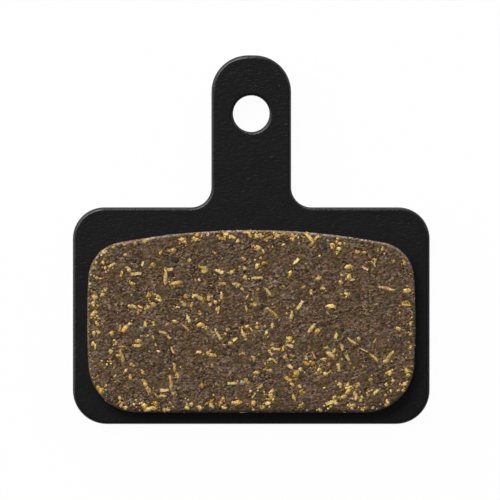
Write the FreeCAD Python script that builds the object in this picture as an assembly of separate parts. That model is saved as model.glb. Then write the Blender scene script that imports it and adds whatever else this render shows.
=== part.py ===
"""Bicycle disc brake pad: a stamped steel backing plate with a friction lining moulded onto its front.

Millimetres, +Z up. The pad lies on its back, with the face that the caliper's piston pushes at Z = 0.
+Z points at the disc rotor, and +Y runs along the tab towards the retaining pin.
The origin is on the back face, midway across the plate and midway up the lining.
"""

import FreeCAD, Part
import math
import os

from FreeCAD import Vector

# Backing plate: overall sizes, as stamped from sheet
plate_thickness = 1.8
plate_width = 28.4
body_height = 17.25
tab_width = 6.35
tab_height = 12.1

# Backing plate: corners of its outline
body_top_radius = 2.5
body_bottom_radius = 2.7
tab_root_radius = 1.6
tab_tip_flat = 0.5

# Backing plate: hole for the retaining pin, and edges softened by tumbling and coating
pin_hole_diameter = 2.9
pin_hole_from_tip = 4.65
front_edge_round = 0.25
back_edge_round = 0.15

# Friction lining: how far its outline stays inside the plate's edges
side_margin = 1.15
bottom_margin = 0.95
crown_margin = 1.8

# Friction lining: its thickness, the bow of its edges, its corners and its rim
lining_thickness = 2.2
crown_bow_radius = 56.0
side_bow_radius = 60.0
lining_top_radius = 2.95
lining_bottom_radius = 3.9
lining_edge_round = 0.2

# Places that follow from the sizes above
lining_height = body_height - bottom_margin - crown_margin
lining_half_width = plate_width / 2 - side_margin
crown_y = lining_height / 2
lining_foot_y = -lining_height / 2
plate_foot_y = lining_foot_y - bottom_margin
shoulder_y = plate_foot_y + body_height
tab_tip_y = shoulder_y + tab_height
tab_tip_radius = (tab_width - tab_tip_flat) / 2
pin_hole_y = tab_tip_y - pin_hole_from_tip
lining_face_z = plate_thickness + lining_thickness


def rounded_corner(before, corner, after, radius):
    """The start, middle and end of the arc that rounds a corner between two straight runs."""
    to_before = (before - corner).normalize()
    to_after = (after - corner).normalize()
    half_angle = to_before.getAngle(to_after) / 2
    tangent_length = radius / math.tan(half_angle)
    middle_distance = radius / math.sin(half_angle) - radius
    inward = (to_before + to_after).normalize()
    return (
        corner + to_before * tangent_length,
        corner + inward * middle_distance,
        corner + to_after * tangent_length,
    )


def corner_between_bows(centre, radius, first_touch, last_touch):
    """The start, middle and end of a corner arc that touches its two neighbours at the points given."""
    outward = ((first_touch + last_touch) / 2 - centre).normalize()
    return first_touch, centre + outward * radius, last_touch


def mirrored(arc):
    """An arc on the left side, from its twin on the right, run the other way round."""
    return tuple(Vector(-point.x, point.y, point.z) for point in reversed(arc))


def face_from_outline(pieces):
    """A flat face inside a closed outline of arcs, with a straight run wherever two arcs don't meet."""
    edges = []
    for i, (start, middle, end) in enumerate(pieces):
        previous_end = pieces[i - 1][2]
        if not previous_end.isEqual(start, 1e-6):
            edges.append(Part.LineSegment(previous_end, start).toShape())
        edges.append(Part.Arc(start, middle, end).toShape())
    return Part.Face(Part.Wire(edges))


def edges_at_height(solid, z):
    """The edges of a solid that lie flat at one height."""
    flat = []
    for edge in solid.Edges:
        heights = [vertex.Z for vertex in edge.Vertexes] + [edge.CenterOfMass.z]
        if all(abs(height - z) < 1e-6 for height in heights):
            flat.append(edge)
    return flat


def plate_outline():
    """The plate's outline from the foot of its right side round to the foot of its left side."""
    half_width = plate_width / 2
    half_tab = tab_width / 2
    right_side = [
        (Vector(half_width, plate_foot_y, 0), body_bottom_radius),
        (Vector(half_width, shoulder_y, 0), body_top_radius),
        (Vector(half_tab, shoulder_y, 0), tab_root_radius),
        (Vector(half_tab, tab_tip_y, 0), tab_tip_radius),
    ]
    foot_left = Vector(-half_width, plate_foot_y, 0)
    tip_left = Vector(-half_tab, tab_tip_y, 0)
    corners = [foot_left] + [corner for corner, radius in right_side] + [tip_left]
    right_arcs = []
    for i, (corner, radius) in enumerate(right_side):
        right_arcs.append(rounded_corner(corners[i], corner, corners[i + 2], radius))
    return right_arcs + [mirrored(arc) for arc in reversed(right_arcs)]


def lining_outline():
    """The lining's outline: a straight foot, bowed sides, a bowed crown and round corners."""
    base_z = plate_thickness
    crown_centre = Vector(0, crown_y - crown_bow_radius, base_z)
    side_centre = Vector(lining_half_width - side_bow_radius, 0, base_z)

    bottom_centre_y = lining_foot_y + lining_bottom_radius
    bottom_reach = math.sqrt((side_bow_radius - lining_bottom_radius) ** 2 - bottom_centre_y**2)
    bottom_centre = Vector(side_centre.x + bottom_reach, bottom_centre_y, base_z)
    foot_touch = Vector(bottom_centre.x, lining_foot_y, base_z)
    low_side_touch = side_centre + (bottom_centre - side_centre).normalize() * side_bow_radius

    # The top corner's centre lies where the crown's and the side's circles, drawn smaller by its radius, cross.
    crown_reach = crown_bow_radius - lining_top_radius
    side_reach = side_bow_radius - lining_top_radius
    to_side = side_centre - crown_centre
    spacing = to_side.Length
    along = (crown_reach**2 - side_reach**2 + spacing**2) / (2 * spacing)
    across = math.sqrt(crown_reach**2 - along**2)
    to_side.normalize()
    towards_corner = Vector(to_side.y, -to_side.x, 0)
    top_centre = crown_centre + to_side * along + towards_corner * across
    high_side_touch = side_centre + (top_centre - side_centre).normalize() * side_bow_radius
    crown_touch = crown_centre + (top_centre - crown_centre).normalize() * crown_bow_radius

    bottom_corner = corner_between_bows(bottom_centre, lining_bottom_radius, foot_touch, low_side_touch)
    side = (low_side_touch, Vector(lining_half_width, 0, base_z), high_side_touch)
    top_corner = corner_between_bows(top_centre, lining_top_radius, high_side_touch, crown_touch)
    crown = (crown_touch, Vector(0, crown_y, base_z), mirrored(top_corner)[0])
    right_side = [bottom_corner, side, top_corner]
    return right_side + [crown] + [mirrored(arc) for arc in reversed(right_side)]


def make_backing_plate():
    """The stamped plate: a rounded body, a tab with the pin hole, and softened edges."""
    plate = face_from_outline(plate_outline()).extrude(Vector(0, 0, plate_thickness))
    pin_hole = Part.makeCylinder(pin_hole_diameter / 2, plate_thickness, Vector(0, pin_hole_y, 0))
    plate = plate.cut(pin_hole)
    plate = plate.makeFillet(front_edge_round, edges_at_height(plate, plate_thickness))
    return plate.makeFillet(back_edge_round, edges_at_height(plate, 0))


def make_friction_lining():
    """The lining moulded onto the plate, with its rim rounded over."""
    lining = face_from_outline(lining_outline()).extrude(Vector(0, 0, lining_thickness))
    return lining.makeFillet(lining_edge_round, edges_at_height(lining, lining_face_z))


def main():
    os.makedirs("parts", exist_ok=True)
    pieces = {
        "backing_plate": make_backing_plate(),
        "friction_lining": make_friction_lining(),
    }
    for name, shape in pieces.items():
        shape.exportStep(f"parts/{name}.step")
        print(name, "valid" if shape.isValid() else "not valid", round(shape.Volume, 2), "mm3")
    print("pin hole centre y", round(pin_hole_y, 3), "rotor face z", round(lining_face_z, 3))


main()
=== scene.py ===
"""Looks of a bicycle disc brake pad: a black coated steel plate and a friction lining full of brass chips.

Laid out as an add-on and run as a script. Everything is in metres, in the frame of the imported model:
the pad lies on its back, +Z points out of the friction face and +Y runs along the tab.
"""

import functools
import math
import random

import bmesh
import bpy
import numpy as np
from bpy.props import FloatProperty, FloatVectorProperty, IntProperty, PointerProperty
from mathutils import Matrix, Vector
from mathutils.bvhtree import BVHTree
from mathutils.kdtree import KDTree


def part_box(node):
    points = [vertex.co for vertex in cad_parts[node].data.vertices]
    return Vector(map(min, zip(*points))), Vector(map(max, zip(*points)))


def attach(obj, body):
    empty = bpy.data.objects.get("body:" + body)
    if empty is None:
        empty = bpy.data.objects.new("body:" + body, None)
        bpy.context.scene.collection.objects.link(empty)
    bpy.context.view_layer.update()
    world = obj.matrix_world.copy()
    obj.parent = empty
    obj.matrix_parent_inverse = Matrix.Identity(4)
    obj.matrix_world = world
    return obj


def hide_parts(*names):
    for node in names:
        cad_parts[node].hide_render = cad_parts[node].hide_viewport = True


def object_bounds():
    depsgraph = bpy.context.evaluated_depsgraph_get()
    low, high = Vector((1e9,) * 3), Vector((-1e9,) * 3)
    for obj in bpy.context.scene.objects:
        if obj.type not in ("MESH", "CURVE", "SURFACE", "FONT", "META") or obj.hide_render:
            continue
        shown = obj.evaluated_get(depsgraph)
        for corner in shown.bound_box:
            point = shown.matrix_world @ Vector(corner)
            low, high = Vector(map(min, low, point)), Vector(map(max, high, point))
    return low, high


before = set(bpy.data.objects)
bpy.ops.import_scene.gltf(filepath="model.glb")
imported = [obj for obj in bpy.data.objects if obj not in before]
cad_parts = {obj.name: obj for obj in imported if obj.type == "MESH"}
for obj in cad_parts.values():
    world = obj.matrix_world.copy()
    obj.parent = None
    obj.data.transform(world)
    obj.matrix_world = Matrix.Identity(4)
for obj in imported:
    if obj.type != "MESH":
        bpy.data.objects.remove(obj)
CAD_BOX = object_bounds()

bl_info = {
    "name": "Disc brake pad",
    "version": (1, 0, 0),
    "blender": (4, 5, 0),
    "location": "3D View > Sidebar > Brake pad",
    "description": "Coats the plate of a disc brake pad and moulds its friction lining",
    "category": "Object",
}

MM = 0.001
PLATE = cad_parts["backing_plate"]
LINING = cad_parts["friction_lining"]
LINING_LOW, LINING_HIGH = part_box("friction_lining")
BASE_Z = LINING_LOW.z
FACE_Z = LINING_HIGH.z

# The lining's solid: the most Z in a wall's normal, the least in the face's, the least cosine between two
# normals of one side, and then what counts as one point, as level with the plate and as off the face
UPRIGHT = 0.05
LEVEL = 0.99
SAME_SIDE = 0.97
MERGE_DISTANCE = 0.001 * MM
FLUSH = 0.01 * MM
OFF_FACE = 0.012 * MM
RIM_ROUND = 0.2 * MM

# The lining's relief: full on the face, weaker on the walls and none along the plate
SKIRT_CELLS = 4
RELIEF_FADE = 0.12 * MM
WALL_RELIEF = 0.3
BOND_LINE = 0.02 * MM
FREE_SURFACE = "free_surface"

# The dark resin of the moulded walls, drawn partly as painted shade: the depths below the face at which it
# starts and is full; then painted shade at the foot: its creep over the foot's rim, its reach up the face
# and its share there
SKIN_DEPTHS = (0.03 * MM, 0.16 * MM)
SKIN_SHARE = 0.9
FOOT_SHADE_CREEP = 0.1 * MM
FOOT_SHADE_REACH = 0.9 * MM
FOOT_SHADE_SHARE = 0.5

# The rim's painted highlight, on the sides facing the light: how pale it is at shares of its width from the
# edge, and how far it runs round to the left
RIM_SHARES = (0.0, 0.4, 0.8, 1.2)
RIM_HIGHLIGHT_LEVELS = (0.3, 1.0, 0.8, 0.0)
LEFT_RIM_HIGHLIGHT = 0.3

# How a chip sits: its height over the compound, its depth, its tilt, and the probes that find its level
BRASS_PROUD = 0.028 * MM
GRAIN_PROUD = 0.018 * MM
CHIP_DEPTH = 0.2 * MM
TILTS = (0.08, 0.05)
PROBES = 6
PROBE_REACH = 0.07 * MM
PROBE_START = 0.2 * MM
WALL_SHARE = 0.3
CREVICE_PLACES = (0.5, 0.75)

# Widths of the chips in millimetres. A shaving wider than a needle is a flake.
NEEDLE_WIDTH = 0.35
GRANULE = 0.2
NEST_GRANULE = 0.17
RIM_GRANULE = 0.14
CRUMB = 0.1
WIDTH_SPREAD = 0.35
SHAVING_LENGTHS = (0.35, 0.8)
SHAVING_WIDTHS = (0.14, 0.28)
GRAIN_WIDTHS = (0.16, 0.4)

# How long a chip is for its width, and the parts of a torn flake as shares of the whole
GRANULE_STRETCH = (1.0, 1.6)
BEAD_STRETCH = (1.0, 1.5)
GRAIN_STRETCH = (1.0, 1.7)
BROAD_GRAIN_STRETCH = (1.0, 1.2)
FLAKE_CORE = 1.05
SCRAP_WIDTHS = (0.4, 0.7)
SCRAP_SPREAD = 0.3

# How chips are scattered, in millimetres along X and Y
CRUMB_SPREAD = (0.3, 0.25)
NEST_SPREAD = (0.28, 0.22)
CLUMP_SPREAD = 0.2
CLUMP_SIZES = (1, 1, 1, 2, 2, 3, 4)
RIM_INSET = 0.07
RIM_SPREAD = 0.4
RIM_RUN = (-5.4, 4.8)

# Tones of the chips, from dull to pale, how much duller a scrap is, and how much darker a chip grows down
# its sides, as resin and as painted shade
NEEDLE_TONES = (-0.44, -0.06)
SMALL_NEEDLE_TONES = (-0.6, -0.15)
FLAKE_TONES = (-0.46, -0.1)
GRANULE_TONES = (-0.6, -0.05)
GRAIN_TONES = (0.0, 0.6)
QUARTZ_TONE = 2.0
SCRAP_DULLING = 0.35
EDGE_RESIN_AND_SHADE = 1.5
RESIN_AND_SHADE_DEPTH = 0.5

# Models of a chip: how many, how ragged, and the angle past which an edge stays sharp
BRASS_MODELS = 8
GRAIN_MODELS = 5
GRAIN_SEED = 20
NEEDLE_RAGGEDNESS = 0.28
BRASS_RAGGEDNESS = 0.2
GRAIN_RAGGEDNESS = 0.26
SHARP_ANGLE = math.radians(50)

# The studio: the paper's size in metres and its gap to the pad, its glow, and the middle of the view, which
# lies between the lining and the pin hole, a little left of the pad's middle
FLOOR_SIZE = 6.0
FLOOR_GAP = 0.03 * MM
PAPER_GLOW = 0.975
VIEW_X = -0.1 * MM
VIEW_Y = 5.651 * MM
SENSOR_WIDTH = 36.0
CLIP_START = 0.01

# A Mix node's outputs share their names, so its colour is found by its place.
MIXED_COLOUR = 2

# Brass turnings that stand out on the face: x and y in millimetres, the angle in degrees from
# +X, then the length and width in millimetres
SHAVINGS = [
    (-6.2, 5.6, 20, 0.65, 0.42), (-4.5, 6.5, 0, 0.6, 0.36), (-2.3, 6.55, 170, 0.75, 0.35),
    (-1.5, 6.7, 155, 0.75, 0.30), (-2.0, 6.92, 0, 0.5, 0.30), (0.5, 5.8, 15, 0.75, 0.50),
    (0.95, 5.55, 120, 0.45, 0.25), (1.35, 6.6, 25, 0.9, 0.28), (2.1, 6.75, 20, 0.6, 0.38),
    (2.7, 6.88, 5, 0.85, 0.36), (4.65, 6.62, 130, 1.2, 0.33), (5.15, 6.62, 40, 0.8, 0.28),
    (3.55, 4.75, 45, 0.75, 0.30), (7.7, 4.3, 10, 0.8, 0.40), (7.75, 3.55, 60, 0.8, 0.38),
    (9.05, 4.2, 150, 0.7, 0.25), (-6.8, 3.45, 90, 1.6, 0.34), (-6.45, 4.1, 10, 0.6, 0.28),
    (-9.7, 4.05, 130, 0.55, 0.40), (-9.1, 3.75, 5, 1.0, 0.32), (-10.3, 3.75, 80, 0.6, 0.25),
    (-11.1, 4.45, 30, 0.7, 0.25), (-5.95, 3.0, 8, 1.1, 0.38), (-3.75, 4.25, 165, 1.0, 0.33),
    (-3.75, 3.95, 170, 0.75, 0.38), (-2.5, 3.95, 165, 0.8, 0.33), (-1.55, 3.95, 30, 0.6, 0.38),
    (-2.25, 2.98, 175, 0.75, 0.28), (-9.25, 1.15, 150, 0.65, 0.28), (-8.8, 1.15, 150, 0.5, 0.25),
    (-8.2, 1.1, 10, 0.5, 0.38), (-10.05, -0.65, 50, 0.75, 0.45), (-11.1, -1.0, 80, 0.5, 0.38),
    (-12.25, -0.2, 120, 0.5, 0.30), (-9.05, -1.95, 0, 0.6, 0.30), (-10.25, -2.0, 0, 0.7, 0.22),
    (-10.25, -2.8, 105, 1.3, 0.33), (-8.4, -0.25, 95, 0.6, 0.30), (-7.0, -0.9, 165, 0.8, 0.24),
    (-5.0, 0.2, 115, 0.85, 0.30), (-5.2, -0.5, 138, 1.0, 0.22), (-6.25, -2.35, 110, 0.75, 0.26),
    (-6.1, -3.6, 100, 0.7, 0.30), (-5.9, -4.3, 115, 0.8, 0.36), (-6.35, -5.1, 98, 1.7, 0.34),
    (-8.4, -4.95, 100, 0.6, 0.42), (-8.15, -5.5, 125, 0.75, 0.40), (-6.9, -5.5, 0, 0.85, 0.28),
    (-7.0, -5.95, 5, 0.7, 0.20), (-7.8, -6.9, 5, 0.9, 0.36), (-7.6, -6.55, 30, 0.5, 0.36),
    (-8.2, -7.0, 0, 0.9, 0.36), (-4.05, 1.8, 150, 0.75, 0.42), (-3.35, 1.8, 80, 0.6, 0.38),
    (0.45, 3.45, 3, 1.1, 0.26), (1.35, 2.35, 130, 1.0, 0.28), (-0.4, 1.05, 105, 0.9, 0.22),
    (-2.65, -1.05, 118, 1.3, 0.33), (-4.05, -0.3, 10, 0.6, 0.38), (-3.3, -2.65, 160, 1.1, 0.40),
    (-4.15, -2.45, 0, 0.5, 0.30), (-0.6, -1.0, 110, 1.1, 0.36), (-1.65, -1.75, 30, 0.45, 0.38),
    (-1.3, -1.45, 35, 0.5, 0.33), (1.75, 0.65, 140, 1.4, 0.24), (3.2, 0.4, 88, 0.85, 0.30),
    (3.85, 1.25, 55, 1.1, 0.33), (4.8, -0.55, 55, 1.1, 0.33), (1.65, -0.35, 85, 0.55, 0.28),
    (1.65, -1.85, 20, 0.45, 0.36), (1.95, -2.2, 170, 0.9, 0.32), (1.55, -2.5, 130, 0.65, 0.28),
    (3.0, -1.35, 170, 0.55, 0.34), (3.1, -1.95, 160, 0.65, 0.30), (2.85, -4.55, 150, 1.0, 0.32),
    (3.25, -5.05, 130, 0.5, 0.28), (3.1, -3.6, 150, 0.6, 0.34), (0.7, -5.2, 38, 0.75, 0.30),
    (0.45, -4.1, 10, 0.7, 0.40), (-1.5, -4.95, 0, 0.9, 0.28), (-3.95, -5.15, 80, 0.45, 0.38),
    (-0.65, -2.55, 170, 0.45, 0.26), (-1.1, -6.45, 5, 0.95, 0.40), (1.6, -6.05, 95, 0.6, 0.38),
    (1.3, -6.5, 5, 0.6, 0.34), (0.9, -6.85, 0, 0.5, 0.34), (6.3, 1.2, 178, 1.0, 0.36),
    (5.35, 3.4, 30, 0.55, 0.36), (5.7, 2.6, 170, 0.5, 0.24), (4.75, 2.3, 95, 0.5, 0.26),
    (4.15, 2.75, 20, 0.5, 0.36), (10.75, 2.6, 168, 1.6, 0.26), (12.5, 2.4, 15, 0.65, 0.42),
    (12.35, 1.3, 175, 0.9, 0.26), (8.0, -1.6, 145, 1.0, 0.28), (6.75, -1.1, 75, 0.75, 0.30),
    (7.2, -2.05, 100, 0.85, 0.30), (7.65, -2.9, 120, 0.85, 0.32), (6.35, -2.65, 160, 1.0, 0.42),
    (6.6, -2.35, 60, 0.5, 0.30), (6.0, -2.1, 0, 0.6, 0.22), (8.95, -2.3, 155, 0.9, 0.12),
    (9.8, -2.9, 140, 1.0, 0.30), (11.0, -2.75, 50, 1.2, 0.32), (10.65, -3.2, 20, 0.6, 0.36),
    (6.95, -3.7, 98, 0.75, 0.30), (5.9, -4.2, 170, 0.5, 0.40), (6.35, -6.45, 20, 1.1, 0.30),
    (7.35, -6.05, 30, 0.8, 0.38), (7.7, -5.6, 70, 0.6, 0.36), (7.75, -5.25, 15, 0.7, 0.20),
    (8.3, -5.9, 110, 0.6, 0.34), (9.9, -5.6, 40, 0.6, 0.28), (8.0, -6.75, 15, 0.9, 0.36),
    (10.95, -4.1, 0, 0.5, 0.38), (9.5, -4.65, 40, 0.4, 0.34), (6.5, -2.8, 40, 0.5, 0.40),
    (3.6, -4.15, 60, 0.7, 0.50),
]

# Brass beads that stand out: x, y and width in millimetres. The ones close to the edge of the
# crown have no crumbs beside them.
BEADS = [
    (-10.0, 5.25, 0.33), (-7.8, 4.45, 0.42), (-7.2, 5.4, 0.30), (-4.9, 4.8, 0.36), (-5.5, 6.5, 0.36),
    (-1.05, 6.35, 0.33), (-9.5, 3.0, 0.36), (-8.1, 2.05, 0.42), (-7.4, 2.0, 0.36), (-7.25, 1.65, 0.33),
    (-2.65, 0.95, 0.42), (-2.8, 1.5, 0.30), (-1.3, 2.95, 0.36), (-1.0, 2.85, 0.33), (-0.75, 2.55, 0.28),
    (-0.5, 3.5, 0.36), (-0.5, 4.2, 0.30), (-0.65, 4.95, 0.30), (-12.4, 1.9, 0.45), (-12.55, 1.4, 0.40),
    (-12.55, 0.55, 0.42), (-11.8, 2.1, 0.36), (-11.6, 2.45, 0.28), (-12.5, -0.95, 0.33),
    (-12.1, -0.9, 0.28), (-9.65, -0.25, 0.33), (-8.95, -1.6, 0.40), (-10.75, -1.8, 0.28),
    (-12.55, -1.8, 0.36), (-9.5, -3.45, 0.36), (-10.65, -2.7, 0.33), (-3.6, -0.6, 0.36),
    (-0.3, -0.45, 0.33), (-9.6, -4.5, 0.36), (-8.6, -4.1, 0.30), (-12.1, -5.3, 0.33),
    (-11.95, -5.55, 0.38), (-6.2, -5.75, 0.36), (-0.4, -4.7, 0.40), (-4.4, 2.0, 0.34),
    (-3.25, 1.3, 0.34), (-5.2, 2.0, 0.38), (-5.3, 1.3, 0.40), (-7.75, 1.3, 0.40), (-6.05, -0.05, 0.34),
    (-6.7, -0.3, 0.30), (-7.8, -0.1, 0.26), (-2.05, -1.05, 0.26), (0.75, 5.0, 0.25), (0.45, 4.4, 0.36),
    (1.0, 4.6, 0.33), (0.7, 6.8, 0.36), (0.4, 6.75, 0.30), (3.25, 6.8, 0.33), (4.85, 6.15, 0.36),
    (6.45, 6.05, 0.33), (6.8, 6.3, 0.30), (7.05, 6.15, 0.28), (7.4, 6.15, 0.25), (6.4, 5.8, 0.28),
    (7.0, 5.75, 0.33), (6.8, 5.4, 0.30), (8.45, 5.5, 0.36), (9.0, 5.45, 0.25), (10.4, 5.7, 0.28),
    (12.2, 4.6, 0.38), (11.3, 4.75, 0.30), (7.1, 3.1, 0.36), (7.6, 2.15, 0.32), (0.3, 1.3, 0.36),
    (1.2, -0.9, 0.32), (5.3, -0.75, 0.40), (8.55, -1.4, 0.36), (2.7, -2.85, 0.36), (5.2, -4.15, 0.36),
    (0.25, -3.0, 0.32), (4.0, -5.6, 0.36), (12.4, -3.9, 0.38), (12.45, -4.3, 0.36), (12.2, -5.0, 0.34),
    (12.1, -5.5, 0.30), (11.7, -5.5, 0.24), (12.65, -0.2, 0.32), (12.65, -1.05, 0.30),
    (12.65, -2.1, 0.30), (8.9, -3.6, 0.28), (0.15, -6.5, 0.40), (4.4, -2.95, 0.30), (4.35, -3.35, 0.38),
    (4.75, -3.25, 0.30), (5.75, -3.05, 0.33), (3.9, -3.85, 0.34), (1.5, -3.9, 0.34), (7.05, -5.0, 0.30),
    (8.5, -5.05, 0.36), (10.7, -5.0, 0.30), (11.25, -4.75, 0.32), (-10.45, -6.1, 0.28),
    (-10.4, -6.45, 0.28), (-10.35, -6.75, 0.26), (-10.0, -6.9, 0.32), (-8.5, -6.7, 0.40),
    (-6.9, -7.05, 0.33), (-6.55, -7.05, 0.28), (-5.05, -6.9, 0.33), (-4.75, -6.6, 0.30),
    (-4.1, -6.85, 0.36), (-3.05, -6.8, 0.30), (-2.45, -6.5, 0.36), (-2.2, -6.85, 0.33),
    (-2.2, -6.15, 0.30), (1.65, -5.6, 0.33), (3.4, -6.05, 0.36), (3.9, -6.75, 0.30), (5.5, -7.05, 0.30),
    (6.6, -6.05, 0.34), (8.9, -7.05, 0.26), (9.65, -6.9, 0.26), (10.85, -6.45, 0.33),
    (10.7, -6.65, 0.28),
]
EDGE_BEADS = [
    (-12.5, 4.22, 0.33), (-12.33, 4.62, 0.28), (-11.68, 5.42, 0.30), (-10.97, 5.85, 0.33),
    (-10.05, 6.05, 0.30), (-9.2, 6.2, 0.36), (-8.45, 6.35, 0.33), (-4.3, 6.82, 0.30),
    (-3.9, 6.85, 0.24), (-3.45, 6.88, 0.32),
]

# Slate and graphite grains that stand out and one of quartz: x, y and width in millimetres
DARK_GRAINS = [
    (5.75, 5.95, 0.75), (-6.05, 4.95, 0.60), (-8.05, 4.95, 0.40), (-6.35, 3.7, 0.45), (-2.6, 3.7, 0.40),
    (-1.55, 6.2, 0.45), (-1.4, 2.5, 0.50), (5.1, 4.6, 0.50), (5.6, 4.2, 0.35), (1.7, 4.7, 0.40),
    (1.0, 2.05, 0.55), (6.0, 2.2, 0.45), (5.7, 0.65, 0.65), (8.4, 1.9, 0.50), (10.9, 3.5, 0.40),
    (0.85, 1.1, 0.45), (-8.8, -0.95, 0.50), (-4.1, -0.75, 0.45), (-3.95, -3.25, 0.40),
    (-0.8, -0.05, 0.45), (-1.15, -2.35, 0.35), (-10.85, -6.15, 0.35), (-6.8, -6.25, 0.35),
    (-3.65, -6.9, 0.50), (5.7, -0.25, 0.50), (7.2, -0.7, 0.45), (8.2, -1.1, 0.45), (1.3, -2.85, 0.50),
    (0.15, -3.4, 0.45), (2.0, -5.8, 0.35), (4.3, -6.3, 0.35), (3.85, -0.65, 0.40), (9.6, -3.85, 0.40),
]
QUARTZ_GRAIN = (-0.7, -4.9, 0.42)

# Places where small brass granules lie close together: x and y in millimetres
GRANULE_NESTS = [
    (-12.6, 1.7), (0.3, 7.0), (-11.25, -3.2), (3.1, -1.6), (7.5, -5.4), (8.3, -5.8), (7.9, -6.75),
    (1.5, -6.3), (-1.35, -6.4), (11.0, -4.1), (12.5, -4.0), (12.05, -5.3), (-11.6, 4.2), (-12.1, 3.4),
    (-7.9, 1.95), (-3.9, -0.4), (-9.1, -1.75), (-8.9, -6.6), (-3.3, -6.45), (-12.0, -5.3), (9.4, 5.0),
    (6.3, -6.5), (9.2, -5.7), (0.3, -6.0), (-0.2, -6.8), (5.3, -3.9), (1.3, -3.2), (-5.2, 6.3),
    (-4.2, 6.5), (1.2, 6.9), (1.9, 6.8), (3.4, 6.75), (4.1, 6.6),
]


def linear(code):
    """An sRGB hex colour as linear red, green, blue and alpha."""
    channels = [int(code[i : i + 2], 16) / 255 for i in (1, 3, 5)]
    return tuple(c / 12.92 if c <= 0.04045 else ((c + 0.055) / 1.055) ** 2.4 for c in channels) + (1.0,)


def colour(name, description, code):
    return FloatVectorProperty(
        name=name, description=description, subtype="COLOR", size=4, min=0.0, max=1.0, default=linear(code)
    )


def length(name, description, millimetres):
    metres = millimetres * MM
    return FloatProperty(
        name=name, description=description, subtype="DISTANCE", unit="LENGTH", min=0.0, default=metres
    )


def angle(name, description, degrees):
    return FloatProperty(name=name, description=description, subtype="ANGLE", default=math.radians(degrees))


def power(name, description, watts):
    return FloatProperty(name=name, description=description, unit="POWER", default=watts)


def ratio(name, description, number):
    return FloatProperty(name=name, description=description, default=number)


def count(name, description, number):
    return IntProperty(name=name, description=description, min=0, default=number)


class PlateFinish(bpy.types.PropertyGroup):
    """The plate's coat"""

    coat: colour("Coat", "Black of the coat where it lies thick", "#101010")
    coat_thin: colour("Thin coat", "Slightly greyer black between the thick patches", "#131313")
    peel_width: length("Orange peel", "Width of the coat's fine waves", 0.15)
    peel_depth: length("Peel depth", "Depth of those waves", 0.014)
    peel_stretch: ratio("Peel stretch", "How long a wave is for its width", 2.5)
    mottle_width: length("Mottle", "Width of the coat's patches", 1.6)


class LiningFinish(bpy.types.PropertyGroup):
    """The lining's compound and relief"""

    binder: colour("Binder", "Brown of the cured resin binder", "#62472A")
    binder_grey: colour("Grey binder", "Greyer brown where there is more filler", "#624B33")
    soot: colour("Soot", "Darkest filler grains", "#362D23")
    olive: colour("Olive", "Greenish filler grains", "#5E5A30")
    rust: colour("Rust", "Reddish filler grains", "#674D3B")
    mauve: colour("Mauve", "Pinkish filler grains", "#75615A")
    sand: colour("Sand", "Palest filler grains", "#AE9F92")
    # Dark resin of the walls, partly painted shade, and the colour of the painted shade just above the foot
    skin: colour("Skin", "Resin-rich skin of the moulded walls", "#2F2620")
    lilac: colour("Lilac", "Greyest of the fine filler", "#665244")
    ochre: colour("Ochre", "Yellowest of the fine filler", "#644C29")
    # The colour of the painted highlight along the rim that faces the light
    rim: colour("Rim", "Pale frayed edge of the ground face", "#A39180")
    rim_highlight_width: length("Rim width", "Width of that pale edge", 0.17)
    ember: colour("Ember", "Rare orange filler grains", "#84573A")
    slate: colour("Slate", "Small dark specks of slate", "#383630")
    chalk: colour("Chalk", "Small pale specks of barium filler", "#A4978B")
    dust: colour("Brass dust", "Brass too fine to be modelled", "#B09A4E")
    wobble_width: length("Wobble width", "Width of the waves in a grain's outline", 0.2)
    wobble_reach: length("Wobble reach", "How far those waves shift the outline", 0.16)
    filler_width: length("Filler width", "Width of the coloured filler grains", 0.27)
    drift_width: length("Drift width", "Width of the binder's drifts from ochre to lilac", 0.24)
    patch_width: length("Patch width", "Width of the tinted patches", 0.7)
    zone_width: length("Zone width", "Width of the zones of finer and coarser grit", 1.4)
    grit_width: length("Grit width", "Width of the finest grit that shows", 0.09)
    grit_depth: length("Grit depth", "Relief of that grit", 0.03)
    grit_stretch: ratio("Grit stretch", "How long the grit is for its width", 1.45)
    speck_spacing: length("Speck spacing", "Spacing of the places where a speck may lie", 0.36)
    grid: length("Grid", "Spacing of the mesh that carries the relief", 0.077)
    grain_width: length("Grain width", "Width of the filler grains that stand out of the binder", 0.26)
    grain_depth: length("Grain depth", "Depth of the hollows between the grains", 0.04)
    pit_width: length("Pit width", "Width of the pits left by torn-out grains", 0.9)
    pit_depth: length("Pit depth", "Depth of those pits", 0.055)
    fibre_width: length("Fibre width", "Width of the felted fibres in the binder", 0.14)
    fibre_depth: length("Fibre depth", "Depth of the furrows between the fibres", 0.09)
    fibre_stretch: ratio("Fibre stretch", "How long a fibre is for its width", 2.2)
    fibre_slant: angle("Fibre slant", "From +X towards +Y", 8)


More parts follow.
